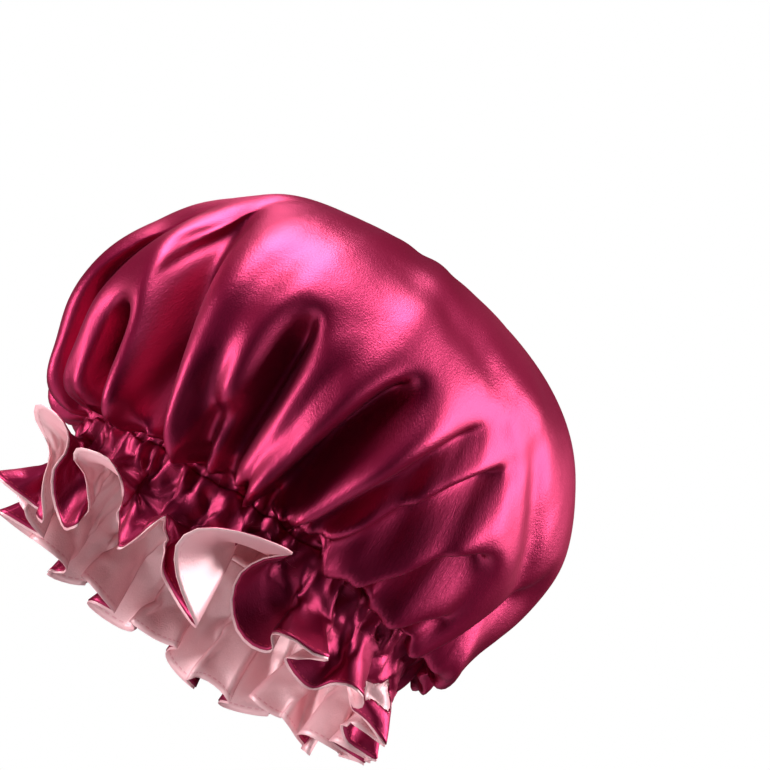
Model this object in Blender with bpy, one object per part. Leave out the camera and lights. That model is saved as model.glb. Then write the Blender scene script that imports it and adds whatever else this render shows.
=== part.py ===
# Satin sleep bonnet, worn shape: two puffed caps, a gathered channel with its
# elastic, and a two-sided ruffle. Z runs along the cap, crown up; X points to
# the nape. The origin is the middle of the head opening at the elastic.
import bpy
import bmesh
import math
import numpy as np

for old in list(bpy.data.objects):
    bpy.data.objects.remove(old, do_unlink=True)

# Main sizes in millimetres
head_length = 196.0        # clear opening, brow to nape
head_width = 168.0         # clear opening, ear to ear
channel_height = 12.0      # gathered channel that holds the elastic
crown_height = 177.0       # elastic line to the top of the cap
cap_reach = 147.0          # half the length of the puffed cap
ruffle_length = 52.0       # channel to hem
cloth = 1.0                # one satin layer with its loft
gap = 0.3                  # air between neighbouring layers
elastic_width = 9.0
elastic_thick = 1.0
tuck_depth = 1.0           # zigzag of the small tucks round the channel

half_length = head_length / 2
half_width = head_width / 2
channel_top = channel_height / 2

# Layers round the channel, distance outside the clear opening
lining_in = 0.0
lining_out = lining_in + cloth
elastic_in = lining_out + tuck_depth + gap
elastic_out = elastic_in + elastic_thick
casing_in = elastic_out + gap
casing_out = casing_in + cloth

# Sections of the cap from the channel up: heights as shares of crown_height,
# distances from the axis as shares of cap_reach.
sections = [
    # front_up, front_out, back_up, back_out, near_out, far_out
    (0.072, 0.722, 0.070, 0.720, 0.628, 0.628),
    (0.080, 0.800, 0.052, 0.775, 0.690, 0.690),
    (0.104, 0.895, -0.018, 0.838, 0.765, 0.760),
    (0.190, 0.960, 0.110, 0.900, 0.835, 0.830),
    (0.330, 1.015, 0.265, 0.935, 0.900, 0.890),
    (0.490, 1.012, 0.450, 0.960, 0.925, 0.915),
    (0.640, 0.935, 0.615, 0.900, 0.875, 0.870),
    (0.775, 0.815, 0.760, 0.785, 0.770, 0.770),
    (0.890, 0.640, 0.870, 0.610, 0.600, 0.600),
    (0.965, 0.385, 0.955, 0.375, 0.360, 0.360),
]
pole_shift = -0.04         # the top sits slightly towards the brow

# Creases of the cap, one row each. Angles in degrees round the opening from
# the near side towards the nape; reach is a share of crown_height and depth
# a share of cap_reach.
creases = [
    # at_band, at_top, reach, depth
    (-95, -112, 0.45, 0.060),
    (-79, -88, 0.55, 0.065),
    (-62, -74, 0.42, 0.075),
    (-30, -56, 0.80, 0.090),
    (-22, -34, 0.34, 0.070),
    (-15, -14, 0.60, 0.080),
    (-5, 14, 0.60, 0.080),
    (3, 38, 0.66, 0.076),
    (10, 56, 0.62, 0.076),
    (19, 78, 0.44, 0.076),
    (46, 96, 0.60, 0.070),
    (68, 112, 0.46, 0.060),
    (90, 127, 0.60, 0.060),
    (114, 140, 0.48, 0.060),
    (142, 156, 0.70, 0.060),
    (172, 176, 0.45, 0.060),
    (200, 196, 0.62, 0.060),
    (226, 216, 0.50, 0.060),
    (248, 236, 0.62, 0.060),
]
# Four columns run from each crease to the next
crease_steps = [(0.0, 1.0), (0.24, 0.22), (0.5, -0.18), (0.76, 0.22)]

# Loops of the ruffle, one row each: angle at the channel and at the hem, then
# the hem's flare and drop and the neck's width as shares of ruffle_length or
# of the way to the next loop.
loops = [
    # at_band, at_hem, flare, drop, neck
    (-91, -92, 0.54, 0.76, 0.25),
    (-69, -68, 0.60, 0.10, 0.28),
    (-43, -45, 0.52, 0.34, 0.28),
    (-19, -19, 0.42, 0.74, 0.24),
    (3, 2, 0.78, 0.26, 0.30),
    (25, 25, 0.46, 0.74, 0.25),
    (47, 47, 0.46, 0.64, 0.26),
    (70, 72, 0.42, 0.74, 0.24),
    (92, 94, 0.40, 0.88, 0.23),
    (113, 113, 0.48, 0.88, 0.26),
    (134, 132, 0.36, 0.95, 0.24),
    (155, 156, 0.50, 0.90, 0.26),
    (177, 176, 0.36, 0.96, 0.24),
    (198, 200, 0.48, 0.93, 0.26),
    (220, 219, 0.36, 0.96, 0.24),
    (243, 242, 0.52, 0.86, 0.26),
]
valley_flare = 0.03
valley_drop = 0.98
# Share of the ruffle's length, share of the flare and share of the drop
ruffle_rows = [(0.28, 0.16, 0.36), (0.64, 0.58, 0.74), (1.0, 1.0, 1.0)]


def smooth(t):
    t = min(1.0, max(0.0, t))
    return t * t * (3 - 2 * t)


def oval(angle, out, wide=0.0):
    a = math.radians(angle)
    return np.array([(half_length + out) * math.sin(a),
                     -(half_width + out) * math.cos(a), wide])


def capPoint(row, angle, dent):
    front_up, front_out, back_up, back_out, near_out, far_out = row
    a = math.radians(angle)
    side = 0.5 + 0.5 * math.sin(a)
    up = front_up + (back_up - front_up) * side
    long_out = front_out if math.sin(a) < 0 else back_out
    wide_out = near_out if math.cos(a) > 0 else far_out
    shrink = 1 - dent
    return np.array([cap_reach * long_out * shrink * math.sin(a),
                     -cap_reach * wide_out * shrink * math.cos(a),
                     crown_height * up])


def capRings():
    count = len(creases)
    rings = []
    for number, row in enumerate(sections):
        height = 0.5 * (row[0] + row[2])
        ring = []
        for k in range(count):
            here = creases[k]
            after = creases[(k + 1) % count]
            turn = 360 if k == count - 1 else 0
            for step, weight in crease_steps:
                lift = max(0.0, height)
                start = here[0] + (here[1] - here[0]) * lift
                stop = after[0] + turn + (after[1] - after[0]) * lift
                angle = start + (stop - start) * step
                reach = here[2] if step == 0 else 0.5 * (here[2] + after[2])
                depth = here[3] if step == 0 else 0.5 * (here[3] + after[3])
                fade = smooth(1.25 - height / reach) * smooth(height * 5)
                ring.append(capPoint(row, angle, depth * weight * fade))
        rings.append(np.array(ring))
    return rings


def ruffleRings():
    count = len(loops)
    rings = [[] for _ in ruffle_rows]
    for k in range(count):
        here = loops[k]
        before = loops[k - 1]
        after = loops[(k + 1) % count]
        back_turn = -360 if k == 0 else 0
        turn = 360 if k == count - 1 else 0
        low_band = 0.5 * (before[0] + back_turn + here[0])
        low_hem = 0.5 * (before[1] + back_turn + here[1])
        high_band = 0.5 * (here[0] + after[0] + turn)
        high_hem = 0.5 * (here[1] + after[1] + turn)
        neck = here[4]
        steps = [(0.0, 0.0, 0.0), (0.17, neck, 0.38), (0.34, neck - 0.02, 0.82),
                 (0.5, 0.5, 1.0), (0.66, 1.02 - neck, 0.82), (0.83, 1 - neck, 0.38)]
        for at_band, at_hem, rise in steps:
            start = low_band + (high_band - low_band) * at_band
            stop = low_hem + (high_hem - low_hem) * at_hem
            flare = valley_flare + (here[2] - valley_flare) * rise
            drop = valley_drop + (here[3] - valley_drop) * rise
            for place, (along, out, down) in enumerate(ruffle_rows):
                angle = start + (stop - start) * along
                reach = casing_out + tuck_depth + ruffle_length * flare * out
                fall = ruffle_length * drop * down
                rings[place].append(oval(angle, reach, -channel_top - fall))
    return [np.array(ring) for ring in rings]


def channelRing(count, out, height, offset=0.0):
    ring = []
    for k in range(count):
        angle = offset + 360.0 * k / count
        tuck = tuck_depth if k % 2 else 0.0
        ring.append(oval(angle, out + tuck, height))
    return np.array(ring)


def evenOffsets(rings, top=None):
    """Outward directions whose unit step moves every neighbouring face by 1."""
    stack = np.array(rings)
    if top is not None:
        stack = np.concatenate([stack, np.broadcast_to(top, stack[:1].shape)])
    after = np.roll(stack, -1, axis=1)
    faces = np.cross(after[1:] - stack[:-1], stack[1:] - after[:-1])
    faces /= np.linalg.norm(faces, axis=2, keepdims=True)
    low = np.concatenate([faces[:1], faces])
    high = np.concatenate([faces, faces[-1:]])
    touching = np.stack([low, high, np.roll(low, 1, axis=1), np.roll(high, 1, axis=1)], axis=2)
    mean = touching.sum(axis=2)
    mean /= np.linalg.norm(mean, axis=2, keepdims=True)
    square = np.einsum("abij,abik->abjk", touching, touching) + 0.25 * np.eye(3)
    short = 1 - np.einsum("abij,abj->abi", touching, mean)
    extra = np.einsum("abij,abi->abj", touching, short)
    steps = mean + np.linalg.solve(square, extra[..., None])[..., 0]
    size = np.linalg.norm(steps, axis=2, keepdims=True)
    steps *= np.minimum(1, 1.8 / size)
    return steps[:len(rings)]


def rimRing(angles, out, height):
    ring = []
    for k, angle in enumerate(angles):
        tuck = tuck_depth if k % 2 else 0.0
        ring.append(oval(angle, out + tuck, height))
    return np.array(ring)


def shell(name, outer, inner, material, outer_top=None, inner_top=None):
    """Closed wall between two stacks of rings, given from rim to rim or top."""
    mesh = bmesh.new()
    stack = [[mesh.verts.new(p / 1000) for p in ring] for ring in outer]
    back = [[mesh.verts.new(p / 1000) for p in ring] for ring in inner]
    pairs = list(zip(stack[:-1], stack[1:])) + list(zip(back[:-1], back[1:]))
    pairs.append((stack[0], back[0]))
    if outer_top is None:
        pairs.append((stack[-1], back[-1]))
    count = len(stack[0])
    for low, high in pairs:
        for k in range(count):
            n = (k + 1) % count
            mesh.faces.new((low[k], low[n], high[n], high[k]))
    for ring, top in ((stack[-1], outer_top), (back[-1], inner_top)):
        if top is None:
            continue
        tip = mesh.verts.new(np.array(top) / 1000)
        for k in range(count):
            mesh.faces.new((ring[k], ring[(k + 1) % count], tip))
    bmesh.ops.triangulate(mesh, faces=mesh.faces[:], quad_method="FIXED")
    bmesh.ops.recalc_face_normals(mesh, faces=mesh.faces[:])
    data = bpy.data.meshes.new(name)
    mesh.to_mesh(data)
    mesh.free()
    data.materials.append(material)
    thing = bpy.data.objects.new(name, data)
    bpy.context.collection.objects.link(thing)
    return thing


def makeMaterial(name, colour, roughness):
    material = bpy.data.materials.new(name)
    material.use_nodes = True
    shader = material.node_tree.nodes["Principled BSDF"]
    shader.inputs["Base Color"].default_value = (*colour, 1)
    shader.inputs["Roughness"].default_value = roughness
    return material


# The two caps: the lining follows the outer cap just inside it
cap = capRings()
cap_top = np.array([cap_reach * pole_shift, 0, crown_height])
cap_angles = np.concatenate([
    np.linspace(creases[k][0],
                creases[(k + 1) % len(creases)][0] + (360 if k == len(creases) - 1 else 0),
                len(crease_steps), endpoint=False)
    for k in range(len(creases))])


cap_rim = rimRing(cap_angles, casing_out, channel_top + gap)
cap_normals = evenOffsets([cap_rim] + cap, cap_top)[1:]


def capLayer(depth, rim_out):
    rings = [rimRing(cap_angles, rim_out, channel_top + gap)]
    rings += [ring - normal * depth for ring, normal in zip(cap, cap_normals)]
    return rings


shell("crown", capLayer(0, casing_out), capLayer(cloth, casing_in),
      makeMaterial("crown_satin", (0.40, 0.01, 0.08), 0.3),
      cap_top, cap_top - (0, 0, cloth))
lining_depth = cloth + gap
shell("crown_lining", capLayer(lining_depth, lining_out),
      capLayer(lining_depth + cloth, lining_in),
      makeMaterial("crown_lining_satin", (0.75, 0.42, 0.44), 0.3),
      cap_top - (0, 0, lining_depth), cap_top - (0, 0, lining_depth + cloth))

# The gathered channel and its elastic
tucks = 72
for name, inner, outer, colour in (
        ("casing", casing_in, casing_out, (0.40, 0.01, 0.08)),
        ("casing_lining", lining_in, lining_out, (0.75, 0.42, 0.44))):
    walls = [[channelRing(tucks, out, height) for height in (-channel_top, channel_top)]
             for out in (outer, inner)]
    shell(name, walls[0], walls[1], makeMaterial(name + "_satin", colour, 0.3))

plain = [[np.array([oval(360.0 * k / tucks, out, height) for k in range(tucks)])
          for height in (-elastic_width / 2, elastic_width / 2)]
         for out in (elastic_out, elastic_in)]
shell("elastic_band", plain[0], plain[1],
      makeMaterial("elastic_white", (0.75, 0.73, 0.72), 0.6))

# The ruffle's two faces
hem = ruffleRings()
hem_angles = []
for k in range(len(loops)):
    low = 0.5 * (loops[k - 1][0] - (360 if k == 0 else 0) + loops[k][0])
    high = 0.5 * (loops[k][0] + loops[(k + 1) % len(loops)][0]
                  + (360 if k == len(loops) - 1 else 0))
    hem_angles += list(np.linspace(low, high, 6, endpoint=False))
hem_rim = rimRing(hem_angles, casing_out, -channel_top - gap)
ruffle_normals = -evenOffsets([hem_rim] + hem)[1:]
hem_depth = cloth + 2 * gap


def ruffleLayer(depth, rim_out):
    rings = [rimRing(hem_angles, rim_out, -channel_top - gap)]
    rings += [ring - normal * depth for ring, normal in zip(hem, ruffle_normals)]
    return rings


shell("frill", ruffleLayer(0, casing_out), ruffleLayer(cloth, casing_in),
      makeMaterial("frill_satin", (0.40, 0.01, 0.08), 0.3))
shell("frill_lining", ruffleLayer(hem_depth, lining_out),
      ruffleLayer(hem_depth + cloth, lining_in),
      makeMaterial("frill_lining_satin", (0.75, 0.42, 0.44), 0.3))
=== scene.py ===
import math
import bpy
import bmesh
import numpy as np
from mathutils import Matrix, Vector


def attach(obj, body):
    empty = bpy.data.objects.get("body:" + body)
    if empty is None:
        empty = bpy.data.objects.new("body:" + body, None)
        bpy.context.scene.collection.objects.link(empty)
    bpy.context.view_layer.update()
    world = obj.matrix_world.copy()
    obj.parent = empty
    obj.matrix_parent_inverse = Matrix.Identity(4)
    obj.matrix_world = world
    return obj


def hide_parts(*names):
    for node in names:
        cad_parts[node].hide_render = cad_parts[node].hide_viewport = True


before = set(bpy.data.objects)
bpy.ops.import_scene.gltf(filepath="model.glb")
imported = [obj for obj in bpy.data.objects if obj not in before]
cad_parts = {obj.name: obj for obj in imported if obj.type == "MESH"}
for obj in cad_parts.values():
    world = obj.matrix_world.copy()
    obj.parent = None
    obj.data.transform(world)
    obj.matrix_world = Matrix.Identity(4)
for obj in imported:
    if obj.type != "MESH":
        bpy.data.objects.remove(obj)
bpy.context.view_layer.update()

scene = bpy.context.scene

# Sizes in metres. Angles run round the opening in degrees, from the near
# side (-Y) towards the nape (+X).
head = {"halfLength": 0.098, "halfWidth": 0.084}
cap = {"height": 0.177, "reach": 0.147, "meridian": 0.294, "rows": 50}
channel = {"height": 0.012, "out": 0.0050, "rows": 5, "tuck": 0.0030, "puff": 0.0012,
           "sway": 0.0014}
ruffle = {"length": 0.052, "rows": 12, "swing": 0.006, "radius": 0.1, "curl": 0.0045,
          "curls": 41}
columns = 240  # points round the cloth
rng = np.random.default_rng(7)

# Sections of the cap as in the CAD: heights as shares of the cap's height,
# distances from the axis as shares of its reach.
sections = [
    # frontUp, frontOut, backUp, backOut, nearOut, farOut
    (0.034, 0.698, 0.034, 0.698, 0.604, 0.604),
    (0.050, 0.730, 0.044, 0.728, 0.634, 0.634),
    (0.022, 0.800, -0.002, 0.775, 0.690, 0.690),
    (0.050, 0.900, -0.070, 0.825, 0.775, 0.765),
    (0.190, 0.960, 0.105, 0.895, 0.835, 0.830),
    (0.330, 1.015, 0.265, 0.935, 0.900, 0.890),
    (0.490, 1.012, 0.450, 0.960, 0.925, 0.915),
    (0.640, 0.935, 0.615, 0.900, 0.875, 0.870),
    (0.775, 0.815, 0.760, 0.785, 0.770, 0.770),
    (0.890, 0.640, 0.870, 0.610, 0.600, 0.600),
    (0.965, 0.385, 0.955, 0.375, 0.360, 0.360),
    (0.995, 0.150, 0.990, 0.150, 0.140, 0.140),
]

# The same where a crease lies at its deepest: no bulge over the channel
valleySections = [
    # frontUp, frontOut, backUp, backOut, nearOut, farOut
    (0.034, 0.698, 0.034, 0.698, 0.604, 0.604),
    (0.070, 0.712, 0.052, 0.712, 0.618, 0.618),
    (0.115, 0.740, 0.070, 0.735, 0.645, 0.645),
    (0.200, 0.800, 0.110, 0.780, 0.695, 0.690),
    (0.330, 0.865, 0.260, 0.825, 0.765, 0.760),
    (0.490, 0.905, 0.460, 0.862, 0.822, 0.812),
    (0.640, 0.862, 0.615, 0.832, 0.806, 0.800),
    (0.775, 0.762, 0.760, 0.735, 0.720, 0.720),
    (0.885, 0.610, 0.865, 0.582, 0.572, 0.572),
    (0.962, 0.375, 0.952, 0.365, 0.352, 0.352),
    (0.994, 0.150, 0.989, 0.150, 0.140, 0.140),
]

def blendTo(low, high, value):
    t = np.clip((value - low) / (high - low), 0, 1)
    return t * t * (3 - 2 * t)


# Smooth cap without folds: an array of rows by columns of points, pole first
def capSurface(table, angles, rows):
    table = np.array(table)
    a = np.radians(angles)
    side = 0.5 + 0.5 * np.sin(a)
    up = table[:, 0, None] + (table[:, 2] - table[:, 0])[:, None] * side
    longOut = np.where(np.sin(a) < 0, table[:, 1, None], table[:, 3, None])
    wideOut = np.where(np.cos(a) > 0, table[:, 4, None], table[:, 5, None])
    points = np.stack([cap["reach"] * longOut * np.sin(a),
                       -cap["reach"] * wideOut * np.cos(a),
                       cap["height"] * up], axis=-1)
    top = np.zeros((1, len(a), 3))
    top[..., 0] = -0.04 * cap["reach"]
    top[..., 2] = cap["height"]
    points = np.concatenate([points, top])
    shift = np.linspace(0, 1, len(points)) ** 2
    points[:-1, :, 0] += (top[0, :, 0] * shift[:-1, None])
    fine = []
    for k in range(len(points) - 1):
        before = points[max(k - 1, 0)]
        after = points[min(k + 2, len(points) - 1)]
        for t in np.linspace(0, 1, 12, endpoint=False):
            fine.append(0.5 * (
                2 * points[k] + (points[k + 1] - before) * t
                + (2 * before - 5 * points[k] + 4 * points[k + 1] - after) * t ** 2
                + (3 * points[k] - before - 3 * points[k + 1] + after) * t ** 3))
    fine = np.array(fine + [points[-1]])
    steps = np.linalg.norm(np.diff(fine, axis=0), axis=2)
    along = np.concatenate([np.zeros((1, len(a))), np.cumsum(steps, axis=0)])
    grid = np.empty((rows + 1, len(a), 3))
    for k in range(len(a)):
        want = np.linspace(along[-1, k], 0, rows + 1)
        for axis in range(3):
            grid[:, k, axis] = np.interp(want, along[:, k], fine[:, k, axis])
    return grid


def gridNormals(grid):
    around = np.roll(grid, -1, axis=1) - np.roll(grid, 1, axis=1)
    along = np.gradient(grid, axis=0)
    normals = np.cross(along, around)
    return normals / (np.linalg.norm(normals, axis=2, keepdims=True) + 1e-12)


# Uneven small tucks round the opening, rows by columns, about -1 to 1
def gathers(angles, rows):
    edges = [0.0]
    while edges[-1] < 360:
        edges.append(edges[-1] + rng.uniform(3.4, 8.6))
    edges = np.array(edges) * 360 / edges[-1]
    height = rng.uniform(0.3, 1.3, len(edges))
    height[-1] = height[0]
    turn = np.interp(angles % 360, edges, np.arange(len(edges)))
    wave = np.sin(2 * math.pi * turn) * np.interp(angles % 360, edges, height)
    wave = wave + np.zeros((rows, 1))
    row = np.arange(rows)[:, None]
    for count in (23, 37, 61, 83):
        lean = rng.uniform(-1.2, 1.2) * row + rng.uniform(0, 7)
        lean = lean + 1.5 * np.sin(rng.uniform(0.5, 1.1) * row + rng.uniform(0, 7))
        wave += 0.34 * np.sin(count * np.radians(angles) + lean)
    return wave


# Soft uneven waves that run along the cap, about -1 to 1
def ripples(angles, along):
    turn = np.radians(angles)[None, :]
    along = along[:, None]
    wave = np.zeros((len(along), turn.size))
    for count, share in ((6, 0.5), (11, 0.8), (17, 0.7), (27, 0.5), (41, 0.4)):
        drift = rng.uniform(-9, 9) * along + rng.uniform(0, 7)
        sway = 1.3 * np.sin(rng.uniform(8, 22) * along + rng.uniform(0, 7))
        strength = 0.6 + 0.4 * np.sin(rng.integers(2, 6) * turn + rng.uniform(0, 7)
                                      + rng.uniform(5, 12) * along)
        calm = 1 / (1 + (along * count / 3.2) ** 2)
        wave += share * strength * calm * np.cos(count * turn + drift + sway)
    return wave


# Creases of the cap, and crests with a negative depth: where each starts and
# where it would reach the top, how far up it goes (share of the height), its
# depth (1 reaches the valley sections) and its width in degrees.
creases = [
    # atBand, atTop, reach, depth, width
    (-95, -96, 0.50, 0.9, 4.0),
    (-79, -69, 0.72, 1.1, 3.4),
    (-57, -53, 0.40, 2.0, 5.4),
    (-45, -50, 0.50, -0.35, 2.6),
    (-31, -57, 0.80, 2.6, 4.6),
    (-27, -36, 0.46, -0.35, 2.4),
    (-21, -25, 0.33, 1.2, 3.2),
    (-15, -14, 0.60, 1.9, 3.8),
    (-10, 0, 0.60, 0.8, 2.6),
    (-4, 19, 0.61, 2.0, 3.6),
    (3, 46, 0.66, 1.7, 3.4),
    (9, 62, 0.62, 1.8, 3.6),
    (20, 88, 0.42, 1.6, 5.2),
    (38, 100, 0.26, 0.7, 5.0),
    (56, 100, 0.46, 1.0, 3.6),
    (84, 130, 0.60, 0.7, 5.0),
    (108, 146, 0.45, 0.5, 5.0),
    (130, 152, 0.54, 0.7, 5.0),
    (152, 160, 0.84, 1.0, 5.0),
    (174, 176, 0.52, 0.9, 5.0),
    (200, 196, 0.76, 1.0, 5.0),
    (228, 218, 0.56, 0.9, 5.0),
    (250, 240, 0.76, 0.9, 4.6),
]

# A soft fold that follows the cap's right rim, from the nape over the top
rimFold = [
    # angle, level
    (62, 0.16), (69, 0.30), (72, 0.43), (63, 0.52), (54, 0.60), (49, 0.69),
    (30, 0.735), (16, 0.77), (2, 0.79), (-18, 0.82),
]
fold = {"tuck": 0.0058, "tuckFade": 0.028, "minor": 34, "ripple": 0.0021, "rim": 0.0042,
        "rimWidth": 0.006, "past": 1.3}


# Presses the creases, the ripples and the small tucks into the smooth cap
def foldCap(outer, inner, angles, tucks):
    normals = gridNormals(outer)
    rows = len(outer) - 1
    fromBand = (1 - np.arange(rows + 1) / rows)[:, None] * cap["meridian"]
    level = np.clip(1 - (1 - fromBand / cap["meridian"]) ** 1.6, 0, 1) + 0 * outer[..., 0]
    press = np.zeros(outer.shape[:2])
    minor = [(turn + rng.uniform(-4, 4), turn + rng.uniform(-14, 14), rng.uniform(0.2, 0.5),
              rng.uniform(0.2, 0.5) * max(0.25, math.cos(math.radians(turn))),
              rng.uniform(1.6, 2.8))
             for turn in np.linspace(0, 360, fold["minor"], endpoint=False)]
    for atBand, atTop, reach, deep, width in creases + minor:
        centre = atBand + (atTop - atBand) * level
        away = (angles - centre + 180) % 360 - 180
        spread = width * (0.45 + 1.1 * level)
        fade = (min(deep, 0.9) + max(deep - 0.9, 0) * blendTo(0.06, 0.26, level)) \
            * blendTo(reach * 1.08, reach * 0.68, level)
        press += fade * (np.exp(-np.abs(away / spread) ** 1.8)
                         - 0.16 * np.exp(-((np.abs(away) - 2.3 * spread) / spread) ** 2))
    press = np.where(press > 1, 1 + fold["past"] * np.tanh((press - 1) / fold["past"]), press)
    line = np.array(rimFold)
    steps = np.linspace(0, len(line) - 1, 90)
    lineTurn = np.interp(steps, np.arange(len(line)), line[:, 0])
    lineLevel = np.interp(steps, np.arange(len(line)), line[:, 1])
    lineRow = np.abs(level[:, 0][None, :] - lineLevel[:, None]).argmin(axis=1)
    spots = outer[lineRow, np.rint(lineTurn / 360 * len(angles)).astype(int) % len(angles)]
    away = np.linalg.norm(outer[:, :, None] - spots, axis=3)
    ends = np.clip(np.minimum(steps, steps[-1] - steps) / 1.5, 0, 1)[away.argmin(axis=2)]
    rim = fold["rim"] * ends * np.exp(-(away.min(axis=2) / fold["rimWidth"]) ** 2)
    # On the near side the creases go straight in, not towards the axis
    toFar = (angles + 180) % 360 - 180
    turned = np.radians(-0.9 * toFar * blendTo(130, 60, np.abs(toFar)))
    move = (inner - outer) * press[..., None]
    folded = outer + np.stack([move[..., 0] * np.cos(turned) - move[..., 1] * np.sin(turned),
                               move[..., 0] * np.sin(turned) + move[..., 1] * np.cos(turned),
                               move[..., 2]], axis=-1)
    wave = fold["ripple"] * ripples(angles, fromBand[:, 0])
    wave *= blendTo(0, 0.03, fromBand) * blendTo(0.295, 0.20, fromBand)
    small = fold["tuck"] * np.exp(-(fromBand / fold["tuckFade"]) ** 1.3)
    small = small * blendTo(0, 0.005, fromBand)
    flatways = outer * (1, 1, 0)
    flatways /= np.linalg.norm(flatways, axis=2, keepdims=True) + 1e-9
    gathered = flatways * (small * tucks[:rows + 1])[..., None]
    return folded + normals * (wave - rim)[..., None] + gathered


def oval(angles, out, height):
    a = np.radians(angles)
    return np.stack([(head["halfLength"] + out) * np.sin(a),
                     -(head["halfWidth"] + out) * np.cos(a),
                     np.broadcast_to(height, np.shape(a))], axis=-1)


def sway(angles):
    around = np.radians(angles)
    return channel["sway"] * np.sin(19 * around + 2 * np.sin(7 * around))


def channelRows(angles, tucks):
    rows = []
    for k in range(channel["rows"]):
        share = k / (channel["rows"] - 1)
        puff = channel["puff"] * math.sin(math.pi * share)
        bulge = channel["tuck"] * np.maximum(0.1, 1 + tucks[bandRow + k])
        rows.append(oval(angles, channel["out"] + bulge + puff,
                         channel["height"] * (0.5 - share) + sway(angles)))
    return np.array(rows)


# Loops of the ruffle: angle at the channel and at the hem, how far the
# loop's hem stands out and hangs down as shares of the ruffle's length, how
# much it pinches into a loop, how firmly it keeps that form while the cloth
# settles, and how much lower one side of the loop hangs than the other.
loops = [
    # atBand, atHem, out, down, pinch, firm, lean
    (-91, -92, 0.52, 0.74, 1.2, 0.25, 0.0),
    (-69, -68, 0.64, 0.04, 1.5, 0.40, 0.0),
    (-43, -45, 0.52, 0.28, 1.6, 0.30, 0.0),
    (-19, -19, 0.42, 0.70, 1.1, 0.12, 0.0),
    (3, -3, 0.96, 0.26, 2.3, 0.65, 0.40),
    (25, 25, 0.48, 0.70, 1.2, 0.20, 0.0),
    (47, 47, 0.48, 0.60, 1.3, 0.14, 0.0),
    (70, 72, 0.42, 0.76, 1.1, 0.18, 0.0),
    (92, 94, 0.36, 0.96, 1.0, 0.40, 0.0),
    (113, 113, 0.44, 0.96, 1.3, 0.45, 0.0),
    (134, 132, 0.26, 1.06, 1.1, 0.50, 0.1),
    (155, 156, 0.44, 1.00, 1.4, 0.50, -0.1),
    (177, 176, 0.24, 1.08, 1.1, 0.50, 0.1),
    (198, 200, 0.42, 1.02, 1.5, 0.50, 0.0),
    (220, 219, 0.26, 1.06, 1.1, 0.45, -0.1),
    (243, 242, 0.48, 0.94, 1.4, 0.40, 0.0),
]
valley = {"out": -0.08, "down": 0.98}


def ruffleRows(angles, tucks):
    count = len(loops)
    table = np.array(loops)
    atBand = table[:, 0]
    before = np.roll(atBand, 1) - np.array([360] + [0] * (count - 1))
    lows = 0.5 * (before + atBand)
    turned = (angles - lows[0]) % 360 + lows[0]
    number = np.clip(np.searchsorted(lows, turned, side="right") - 1, 0, count - 1)
    highs = np.roll(lows, -1) + np.array([0] * (count - 1) + [360])
    phase = 2 * math.pi * (turned - lows[number]) / (highs[number] - lows[number])
    hemShift = table[:, 1] - table[:, 0]
    around = np.radians(angles)
    rows = []
    rise = 0.5 - 0.5 * np.cos(phase)
    for k in range(1, ruffle["rows"] + 1):
        t = k / ruffle["rows"]
        out = (valley["out"] + (table[number, 2] - valley["out"]) * rise) * (0.45 + 0.55 * t) * t
        down = (valley["down"] + (table[number, 3] - valley["down"]) * rise) * t
        down += 0.5 * rise * (1 - np.minimum(table[number, 3], 1)) * t * (1 - t)
        down += table[number, 6] * np.sin(phase) * t ** 1.5
        swing = np.degrees(ruffle["swing"] / ruffle["radius"]) * table[number, 4]
        swing = swing * np.sin(2 * phase) * t ** 0.8
        place = angles + hemShift[number] * rise * t + swing
        curl = ruffle["curl"] * t ** 1.3 \
            * np.sin(ruffle["curls"] * around + 2.2 * np.sin(5 * around))
        small = curl + channel["tuck"] * (1 + tucks[hemStart + k]) * (1 - t) ** 2
        rows.append(oval(place, channel["out"] + small + ruffle["length"] * out,
                         -channel["height"] / 2 - ruffle["length"] * down))
    return np.array(rows)


# Twice as many rows and columns on smooth curves through the points
def finer(grid):
    left, right = np.roll(grid, 1, axis=1), np.roll(grid, -1, axis=1)
    far = np.roll(grid, -2, axis=1)
    wide = np.empty((len(grid), grid.shape[1] * 2, 3))
    wide[:, 0::2] = grid
    wide[:, 1::2] = (9 * (grid + right) - left - far) / 16
    padded = np.concatenate([2 * wide[:1] - wide[1:2], wide, 2 * wide[-1:] - wide[-2:-1]])
    tall = np.empty((len(grid) * 2 - 1, wide.shape[1], 3))
    tall[0::2] = wide
    tall[1::2] = (9 * (wide[:-1] + wide[1:]) - padded[:-3] - padded[3:]) / 16
    return tall


def finerLine(values):
    out = np.empty(len(values) * 2 - 1)
    out[0::2] = values
    out[1::2] = 0.5 * (values[:-1] + values[1:])
    return out


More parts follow.
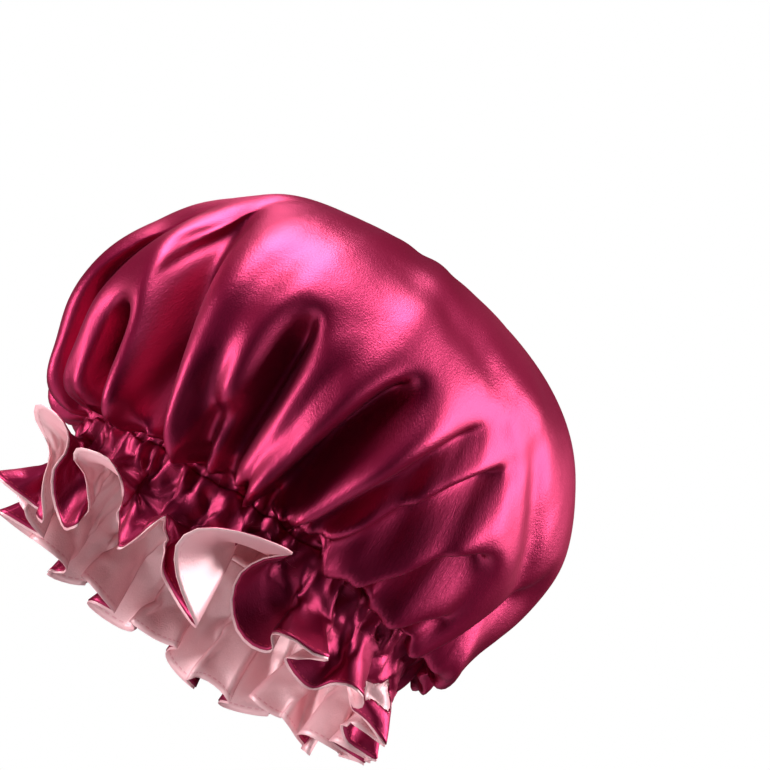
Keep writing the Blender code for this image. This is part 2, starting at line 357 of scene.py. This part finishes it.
# A welded mesh of the grid; each corner keeps its row and column
def clothSheet(name, grid, flat, closedTop):
    rows, wide = grid.shape[:2]
    sheet = bmesh.new()
    uvLayer = sheet.loops.layers.uv.new("cut")
    turnLayer = sheet.loops.layers.uv.new("turns")
    bmesh.ops.create_grid(sheet, x_segments=wide, y_segments=rows - 1, size=0.5)
    rowLayer = sheet.verts.layers.int.new("row")
    columnLayer = sheet.verts.layers.int.new("column")
    spots = {}
    for corner in sheet.verts:
        k = round((corner.co.x + 0.5) * wide)
        r = round((corner.co.y + 0.5) * (rows - 1))
        spots[corner] = (r, k)
    for face in sheet.faces:
        face.smooth = True
        for loop in face.loops:
            r, k = spots[loop.vert]
            turn = 2 * math.pi * k / wide
            loop[uvLayer].uv = (flat[r] * math.cos(turn), flat[r] * math.sin(turn))
            loop[turnLayer].uv = (k / wide, flat[r])
    for corner, (r, k) in spots.items():
        corner.co = grid[r, k % wide]
        corner[rowLayer] = r
        corner[columnLayer] = k % wide
    seam = [v for v, (r, k) in spots.items() if k in (0, wide)]
    bmesh.ops.remove_doubles(sheet, verts=seam, dist=1e-7)
    if closedTop:
        pole = [v for v in sheet.verts if v[rowLayer] == 0]
        bmesh.ops.remove_doubles(sheet, verts=pole, dist=1e-4)
    bmesh.ops.reverse_faces(sheet, faces=sheet.faces)
    data = bpy.data.meshes.new(name)
    sheet.to_mesh(data)
    sheet.free()
    thing = bpy.data.objects.new(name, data)
    scene.collection.objects.link(thing)
    return thing


# The evaluated points of a clothSheet, back in rows and columns
def readGrid(thing, shape):
    shown = thing.evaluated_get(bpy.context.evaluated_depsgraph_get()).data
    points = np.empty(len(shown.vertices) * 3)
    shown.vertices.foreach_get("co", points)
    points = points.reshape(-1, 3)
    row = np.empty(len(points), dtype=np.int32)
    column = np.empty(len(points), dtype=np.int32)
    thing.data.attributes["row"].data.foreach_get("value", row)
    thing.data.attributes["column"].data.foreach_get("value", column)
    grid = np.empty(shape)
    grid[row, column] = points
    grid[0] = points[row == 0][0]  # the pole is one point
    return grid


# Lets the cloth find its folds: it wants its flat cut back, is pressed
# outwards from inside, hangs a little and is held by its weights
def relax(grid, flat, held, drape):
    big = drape["scale"]
    thing = clothSheet("drapeTest", grid * big, flat, True)
    row = np.array([d.value for d in thing.data.attributes["row"].data])
    column = np.array([d.value for d in thing.data.attributes["column"].data])
    turn = 2 * math.pi * column / columns
    thing.shape_key_add(name="Basis")
    cut = thing.shape_key_add(name="flatCut")
    spread = np.stack([flat[row] * np.sin(turn), -flat[row] * np.cos(turn),
                       np.zeros(len(row))], axis=1) * big
    cut.data.foreach_set("co", spread.ravel())
    cut.value = 0
    group = thing.vertex_groups.new(name="held")
    blown = thing.vertex_groups.new(name="blown")
    crowded = thing.vertex_groups.new(name="crowded")
    for k in range(len(row)):
        if row[k] < drape["crowdedRows"]:
            crowded.add([k], 1.0, "REPLACE")
        group.add([k], float(held[row[k], column[k]]), "REPLACE")
        blown.add([k], 1.0 if row[k] < bandRow else 0.0, "REPLACE")
    cloth = thing.modifiers.new("drape", "CLOTH")
    rules = cloth.settings
    rules.quality = drape["quality"]
    rules.mass = drape["mass"]
    rules.air_damping = 2.0
    rules.tension_stiffness = drape["stretch"]
    rules.compression_stiffness = drape["press"]
    rules.shear_stiffness = drape["shear"]
    rules.bending_stiffness = drape["bend"]
    rules.tension_damping = 8
    rules.compression_damping = 8
    rules.bending_damping = 0.5
    rules.vertex_group_mass = "held"
    rules.pin_stiffness = drape["hold"]
    rules.rest_shape_key = cut
    rules.use_pressure = True
    rules.uniform_pressure_force = drape["pressure"]
    rules.vertex_group_pressure = "blown"
    cloth.collision_settings.use_collision = False
    cloth.collision_settings.use_self_collision = drape["touch"]
    cloth.collision_settings.self_distance_min = drape["apart"] * big
    cloth.collision_settings.vertex_group_self_collisions = "crowded"
    cloth.point_cache.frame_end = drape["frames"]
    scene.gravity = Vector(drape["downwards"]) * drape["gravity"]
    for k in range(1, drape["frames"] + 1):
        scene.frame_set(k)
    result = readGrid(thing, grid.shape) / big
    bpy.data.objects.remove(thing, do_unlink=True)
    scene.frame_set(1)
    return result


angles = np.arange(columns) * 360.0 / columns
bandRow = cap["rows"]
hemStart = bandRow + channel["rows"] - 1
tucks = gathers(angles, hemStart + ruffle["rows"] + 1)
smoothCap = capSurface(sections, angles, cap["rows"])
creasedCap = capSurface(valleySections, angles, cap["rows"])
flat = np.concatenate([
    np.linspace(0, cap["meridian"], cap["rows"] + 1),
    cap["meridian"] + channel["height"] * np.arange(1, channel["rows"]) / (channel["rows"] - 1),
    cap["meridian"] + channel["height"]
    + ruffle["length"] * np.arange(1, ruffle["rows"] + 1) / ruffle["rows"]])
foldedCap = foldCap(smoothCap, creasedCap, angles, tucks)
start = np.concatenate([foldedCap[:-1], channelRows(angles, tucks), ruffleRows(angles, tucks)])
print("start grid", start.shape)

# How firmly each row is held, from the pole down to the hem
grip = {"cap": 0.12, "top": 0.5, "topRows": 28, "poleRows": 7, "channel": 0.8, "ruffleTop": 0.5}
held = np.zeros(start.shape[:2])
held[:bandRow] = grip["cap"]
held[:grip["topRows"]] += grip["top"] * np.linspace(1, 0, grip["topRows"])[:, None] ** 0.7
held[:grip["poleRows"]] = 1.0
held[bandRow:hemStart + 1] = grip["channel"]
looser = np.linspace(grip["ruffleTop"], 0, ruffle["rows"]) ** 2
spots = np.array(loops)
firm = np.interp(angles, spots[:, 0] % 360, spots[:, 5], period=360)
held[hemStart + 1:] = firm + looser[:, None]
drape = {"scale": 10.0, "quality": 7, "frames": 40, "mass": 0.3, "stretch": 20, "press": 12,
         "shear": 6, "bend": 0.12, "hold": 1.0, "pressure": 0.10, "gravity": 1.0,
         "downwards": (0.576, 0, -0.817), "touch": True, "apart": 0.0012, "crowdedRows": 18}
shape = relax(start, flat, held, drape)
print("cloth relaxed", float(np.abs(shape - start).max()))
# Takes out what is narrower than two columns, not the folds
calming = {"times": 2, "belowShare": 0.3}
for again in range(calming["times"]):
    calmed = 0.5 * shape + 0.25 * (np.roll(shape, 1, axis=1) + np.roll(shape, -1, axis=1))
    calmed[1:-1] = 0.5 * calmed[1:-1] + 0.25 * (calmed[:-2] + calmed[2:])
    calmed[0] = shape[0]
    calmed[bandRow - 3:] = (calming["belowShare"] * calmed[bandRow - 3:]
                            + (1 - calming["belowShare"]) * shape[bandRow - 3:])
    shape = calmed
normals = gridNormals(shape)


stitch = {"inside": 0.0026, "thick": 0.0003, "count": 560, "cutOff": -0.3}


# Short stitches in a row just inside the hem, from the turns map
def hemSeam(tree):
    place = tree.nodes.new("ShaderNodeUVMap")
    place.uv_map = "turns"
    split = tree.nodes.new("ShaderNodeSeparateXYZ")
    tree.links.new(place.outputs["UV"], split.inputs["Vector"])

    def figure(operation, first, second, third=0.0):
        node = tree.nodes.new("ShaderNodeMath")
        node.operation = operation
        for k, value in enumerate((first, second, third)):
            if isinstance(value, (int, float)):
                node.inputs[k].default_value = value
            else:
                tree.links.new(value, node.inputs[k])
        return node.outputs[0]

    seamAt = float(flat[-1]) - stitch["inside"]
    near = figure("COMPARE", split.outputs["Y"], seamAt, stitch["thick"])
    around = figure("MULTIPLY", split.outputs["X"], stitch["count"] * 2 * math.pi)
    wave = figure("SINE", around, 0.0)
    return figure("MULTIPLY", near, figure("GREATER_THAN", wave, stitch["cutOff"]))


# The satin's grain and its soft puckers: how fine, how strong and how deep
weave = {"grain": 900, "grainStrong": 0.5, "grainDeep": 0.0003,
         "pucker": 60, "puckerStrong": 0.35, "puckerDeep": 0.0012}


def makeSatin(name, look):
    material = bpy.data.materials.new(name)
    material.use_nodes = True
    tree = material.node_tree
    shader = tree.nodes["Principled BSDF"]
    shader.inputs["Metallic"].default_value = look["metal"]
    shader.inputs["Roughness"].default_value = look["rough"]
    shader.inputs["IOR"].default_value = look["bends"]
    shader.inputs["Anisotropic"].default_value = 0.55
    shader.inputs["Sheen Weight"].default_value = look["sheen"]
    shader.inputs["Sheen Roughness"].default_value = 0.35
    shader.inputs["Sheen Tint"].default_value = (*look["sheenTint"], 1)
    shader.inputs["Specular Tint"].default_value = (*look["edge"], 1)
    # Painted shade: the base colour turns from front to deep where the cloth faces away from the
    # camera, darker and redder on the turned-away sides of folds and rims.
    facing = tree.nodes.new("ShaderNodeLayerWeight")
    facing.inputs["Blend"].default_value = 0.35
    paintedGrazingShade = tree.nodes.new("ShaderNodeMix")
    paintedGrazingShade.data_type = "RGBA"
    paintedGrazingShade.inputs["A"].default_value = (*look["front"], 1)
    paintedGrazingShade.inputs["B"].default_value = (*look["deep"], 1)
    tree.links.new(facing.outputs["Facing"], paintedGrazingShade.inputs["Factor"])
    stitched = tree.nodes.new("ShaderNodeMix")
    stitched.data_type = "RGBA"
    stitched.inputs["B"].default_value = (*look["thread"], 1)
    tree.links.new(paintedGrazingShade.outputs["Result"], stitched.inputs["A"])
    tree.links.new(hemSeam(tree), stitched.inputs["Factor"])
    tree.links.new(stitched.outputs["Result"], shader.inputs["Base Color"])
    spot = tree.nodes.new("ShaderNodeUVMap")
    spot.uv_map = "cut"
    grain = tree.nodes.new("ShaderNodeTexNoise")
    grain.inputs["Scale"].default_value = weave["grain"]
    grain.inputs["Detail"].default_value = 2
    pucker = tree.nodes.new("ShaderNodeTexNoise")
    pucker.inputs["Scale"].default_value = weave["pucker"]
    pucker.inputs["Detail"].default_value = 3
    tree.links.new(spot.outputs["UV"], grain.inputs["Vector"])
    tree.links.new(spot.outputs["UV"], pucker.inputs["Vector"])
    fine = tree.nodes.new("ShaderNodeBump")
    fine.inputs["Strength"].default_value = weave["grainStrong"]
    fine.inputs["Distance"].default_value = weave["grainDeep"]
    soft = tree.nodes.new("ShaderNodeBump")
    soft.inputs["Strength"].default_value = weave["puckerStrong"]
    soft.inputs["Distance"].default_value = weave["puckerDeep"]
    tree.links.new(grain.outputs["Fac"], fine.inputs["Height"])
    tree.links.new(pucker.outputs["Fac"], soft.inputs["Height"])
    tree.links.new(soft.outputs["Normal"], fine.inputs["Normal"])
    tree.links.new(fine.outputs["Normal"], shader.inputs["Normal"])
    return material


# deep is painted shade: the darker, redder wine where the cloth turns away from the camera.
wine = makeSatin("wineSatin", {
    "metal": 0.66, "rough": 0.42, "sheen": 0.03, "sheenTint": (1.0, 0.4, 0.9), "bends": 2.4,
    "edge": (1.0, 0.60, 0.9), "front": (0.40, 0.003, 0.072), "deep": (0.22, 0.001, 0.016),
    "thread": (0.62, 0.05, 0.12)})
# deep is painted shade: the darker, redder pink where the cloth turns away from the camera.
pink = makeSatin("pinkSatin", {
    "metal": 0.12, "rough": 0.38, "sheen": 0.15, "sheenTint": (1.0, 0.85, 0.85), "bends": 1.6,
    "edge": (1.0, 0.95, 0.95), "front": (0.99, 0.66, 0.69), "deep": (0.84, 0.36, 0.42),
    "thread": (0.88, 0.46, 0.52)})


def makePlain(name, colour, rough, sheen=0.2):
    material = bpy.data.materials.new(name)
    material.use_nodes = True
    shader = material.node_tree.nodes["Principled BSDF"]
    shader.inputs["Base Color"].default_value = (*colour, 1)
    shader.inputs["Roughness"].default_value = rough
    shader.inputs["Sheen Weight"].default_value = sheen
    return material


knit = makePlain("elasticKnit", (0.78, 0.76, 0.74), 0.8)
paleThread = makePlain("paleThread", (0.88, 0.66, 0.68), 0.5)
wineThread = makePlain("wineThread", (0.50, 0.02, 0.10), 0.45)


# Walls of cloth and how the pink side lies against the wine side
layer = {"thick": 0.0005, "pinkBehind": 0.0007, "pinkInChannel": 0.0012, "pinkTucks": 0.0006,
         "peep": 0.0013, "capInside": 0.0008}


def dress(name, grid, cut, material, nodes, top, thick=layer["thick"]):
    thing = clothSheet(name, finer(grid), finerLine(cut), top)
    thing.data.materials.append(material)
    wall = thing.modifiers.new("wall", "SOLIDIFY")
    wall.thickness = thick
    wall.offset = -1
    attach(thing, "root")
    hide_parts(*nodes)
    return thing


# The pink side lies just behind the wine side, and inside the elastic
pinkShape = shape - normals * layer["pinkBehind"]
for row in range(bandRow, hemStart + 1):
    pinkShape[row] = oval(angles, layer["pinkInChannel"] + layer["pinkTucks"] * tucks[row],
                          shape[row, :, 2])
for step, share in enumerate((0.75, 0.45, 0.2)):
    row = hemStart + 1 + step
    inChannel = oval(angles, layer["pinkInChannel"], shape[row, :, 2])
    pinkShape[row] += share * (inChannel - pinkShape[row])
# The pink hem peeps out past the wine one
pinkShape[-1] += layer["peep"] * (shape[-1] - shape[-2]) / np.linalg.norm(
    shape[-1] - shape[-2], axis=1, keepdims=True)
above = slice(0, bandRow + 2)
below = slice(bandRow + 1, len(shape))
upper = shape[:bandRow + 3].copy()
upper[-2:] -= layer["capInside"] * normals[bandRow + 1:bandRow + 3]
crownSatin = dress("crownSatin", upper, flat[:bandRow + 3], wine, ["crown"],
                   True)
crownPink = dress("crownPink", pinkShape[above], flat[above], pink, ["crown_lining"],
                  True)
ruffleSatin = dress("ruffleSatin", shape[below], flat[below], wine, ["casing", "frill"],
                    False)
rufflePink = dress("rufflePink", pinkShape[below], flat[below], pink,
                   ["casing_lining", "frill_lining"], False)
print("fabrics dressed")

elastic = {"out": 0.0031, "width": 0.009, "thick": 0.0009, "ribs": 72, "ribDeep": 0.0002,
           "rows": 4, "flat": (0.30, 0.309)}
ribs = elastic["ribDeep"] * np.sin(elastic["ribs"] * np.radians(angles))
elasticRows = np.array([oval(angles, elastic["out"] + ribs, elastic["width"] * share + sway(angles))
                        for share in np.linspace(0.5, -0.5, elastic["rows"])])
band = dress("elasticBand", elasticRows, np.linspace(*elastic["flat"], elastic["rows"]), knit,
             ["elastic_band"], False, elastic["thick"])


# Loose thread ends, each bent a little, as one mesh
def threads(name, starts, ways, thick, material):
    curve = bpy.data.curves.new(name, "CURVE")
    curve.dimensions = "3D"
    curve.bevel_depth = thick
    curve.bevel_resolution = 0
    curve.use_fill_caps = True
    pieces = 4
    for start, way in zip(starts, ways):
        spline = curve.splines.new("POLY")
        spline.points.add(pieces)
        bend = rng.normal(0, 0.22 * np.linalg.norm(way), 3)
        for k, point in enumerate(spline.points):
            t = k / pieces
            point.co = (*(start + way * t + bend * t * t), 1)
    thing = bpy.data.objects.new(name, curve)
    scene.collection.objects.link(thing)
    bpy.context.view_layer.objects.active = thing
    thing.select_set(True)
    bpy.ops.object.convert(target="MESH")
    thing.data.materials.append(material)
    thing.select_set(False)
    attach(thing, "root")
    return thing


# Rows and columns are those of the fine grid, counted from the ruffle's top
tear = {"row": 19.5, "column": 89.5, "rows": 4.8, "columns": 5.6, "inside": 0.93, "reach": 1.9,
        "ragged": (0.96, 1.06)}


# A ragged hole without a seam, and the places round its edge
def tearOpen(thing, grid):
    hole = bmesh.new()
    hole.from_mesh(thing.data)
    rowLayer = hole.verts.layers.int["row"]
    columnLayer = hole.verts.layers.int["column"]

    # How far down and across, and the distance as a share of the outline
    def place(spot):
        down = (spot[rowLayer] - tear["row"]) / tear["rows"]
        across = (spot[columnLayer] - tear["column"]) / tear["columns"]
        turn = math.atan2(down, across)
        outline = 1 + 0.12 * math.sin(3 * turn + 1) + 0.07 * math.sin(7 * turn + 2)
        return down, across, math.hypot(down, across) / outline

    inside = [face for face in hole.faces
              if sum(place(spot)[2] for spot in face.verts) < tear["inside"] * len(face.verts)]
    bmesh.ops.delete(hole, geom=inside, context="FACES")
    edge = []
    for spot in hole.verts:
        down, across, size = place(spot)
        if spot.is_boundary and size < tear["reach"]:
            size *= rng.uniform(*tear["ragged"])
            row = tear["row"] + tear["rows"] * down / size
            column = tear["column"] + tear["columns"] * across / size
            r, k = int(row), int(column)
            a, b = row - r, column - k
            point = ((1 - a) * ((1 - b) * grid[r, k] + b * grid[r, k + 1])
                     + a * ((1 - b) * grid[r + 1, k] + b * grid[r + 1, k + 1]))
            spot.co = point
            edge.append(point)
    hole.to_mesh(thing.data)
    hole.free()
    return np.array(edge)


torn = tearOpen(ruffleSatin, finer(shape[below]))
print("hole torn, points round it:", len(torn))

# Pale threads that start at the hole's edge and point across it
fray = {"count": 46, "thick": 0.00012, "scatter": 0.0005, "across": (0.12, 0.42), "stray": 0.0012}
middle = torn.mean(axis=0)
picked = rng.integers(0, len(torn), fray["count"])
frayed = threads("frayedThreads",
                 torn[picked] + rng.normal(0, fray["scatter"], (fray["count"], 3)),
                 (middle - torn)[picked] * rng.uniform(*fray["across"], (fray["count"], 1))
                 + rng.normal(0, fray["stray"], (fray["count"], 3)), fray["thick"], paleThread)

# Wine threads that stick out of the near side of the channel
fluff = {"count": 60, "thick": 0.00010, "columns": (-42, 32), "lift": 0.0004,
         "long": (0.001, 0.004), "stray": 0.0022}
picked = rng.choice(np.arange(*fluff["columns"]), fluff["count"]) % columns
rowsPicked = rng.integers(bandRow - 1, hemStart + 3, fluff["count"])
outwards = normals[rowsPicked, picked]
loose = threads("looseThreads", shape[rowsPicked, picked] + fluff["lift"] * outwards,
                outwards * rng.uniform(*fluff["long"], (fluff["count"], 1))
                + rng.normal(0, fluff["stray"], (fluff["count"], 3)), fluff["thick"], wineThread)

print("elastic and threads in place")

# Floor, light and camera
bpy.ops.mesh.primitive_plane_add(size=30, location=(0, 0, -1.2))
floor = bpy.context.object
floor.name = "floor"
floorPaint = bpy.data.materials.new("floorPaint")
floorPaint.use_nodes = True
floorShader = floorPaint.node_tree.nodes["Principled BSDF"]
floorShader.inputs["Base Color"].default_value = (0.9, 0.9, 0.9, 1)
floorShader.inputs["Roughness"].default_value = 0.9
floor.data.materials.append(floorPaint)

world = bpy.data.worlds.new("studio")
scene.world = world
world.use_nodes = True
tree = world.node_tree
tree.nodes.clear()
output = tree.nodes.new("ShaderNodeOutputWorld")
mix = tree.nodes.new("ShaderNodeMixShader")
path = tree.nodes.new("ShaderNodeLightPath")
dim = tree.nodes.new("ShaderNodeBackground")
white = tree.nodes.new("ShaderNodeBackground")
dim.inputs["Color"].default_value = (1, 0.98, 0.98, 1)
dim.inputs["Strength"].default_value = 0.006
white.inputs["Color"].default_value = (1, 1, 1, 1)
white.inputs["Strength"].default_value = 1.0
tree.links.new(path.outputs["Is Camera Ray"], mix.inputs["Fac"])
tree.links.new(dim.outputs["Background"], mix.inputs[1])
tree.links.new(white.outputs["Background"], mix.inputs[2])
tree.links.new(mix.outputs["Shader"], output.inputs["Surface"])

# The opening's middle shows at middleAt of a square picture of that many pixels
view = {"below": 12.0, "roll": 35.2, "distance": 2.6, "across": 0.403, "pixels": 770,
        "middleAt": (249, 546), "sensor": 36, "gamma": 0.9}
below = math.radians(view["below"])
toCamera = Vector((0, -math.cos(below), -math.sin(below)))
axisUp = Vector((0, -math.sin(below), math.cos(below)))
side = Vector((1, 0, 0))
roll = math.radians(view["roll"])
imageUp = axisUp * math.cos(roll) - side * math.sin(roll)
imageRight = side * math.cos(roll) + axisUp * math.sin(roll)
metresPerPixel = view["across"] / view["pixels"]
half = view["pixels"] // 2
aim = (imageRight * ((half - view["middleAt"][0]) * metresPerPixel)
       + imageUp * ((view["middleAt"][1] - half) * metresPerPixel))
camera = bpy.data.objects.new("camera", bpy.data.cameras.new("camera"))
scene.collection.objects.link(camera)
camera.matrix_world = Matrix.Translation(aim + toCamera * view["distance"]) @ Matrix(
    (imageRight, imageUp, toCamera)).transposed().to_4x4()
camera.data.lens = view["sensor"] * view["distance"] / view["across"]
scene.camera = camera


# Places are in the picture: to the right, up and towards the camera
def softLight(name, right, up, near, size, watts, colour):
    lamp = bpy.data.objects.new(name, bpy.data.lights.new(name, "AREA"))
    lamp.data.shape = "RECTANGLE"
    lamp.data.size, lamp.data.size_y = size
    lamp.data.energy = watts
    lamp.data.color = colour
    scene.collection.objects.link(lamp)
    centre = Vector((0, 0, 0.06))
    place = centre + imageRight * right + imageUp * up + toCamera * near
    lamp.location = place
    lamp.rotation_euler = (centre - place).to_track_quat("-Z", "Y").to_euler()


softLight("keyLight", 0.1, 1.45, -0.1, (1.4, 0.7), 42, (1, 0.97, 0.98))
softLight("rightLight", 1.4, 0.0, 0.05, (0.8, 1.2), 34, (1, 0.97, 0.98))
softLight("leftLight", -1.4, 0.5, 0.35, (0.4, 0.9), 20, (1, 0.97, 0.98))
softLight("lowLight", -0.9, -1.2, 0.9, (0.6, 0.5), 7.5, (1, 0.96, 0.96))
scene.view_settings.view_transform = "Standard"
scene.view_settings.gamma = view["gamma"]
print("camera and lights set")
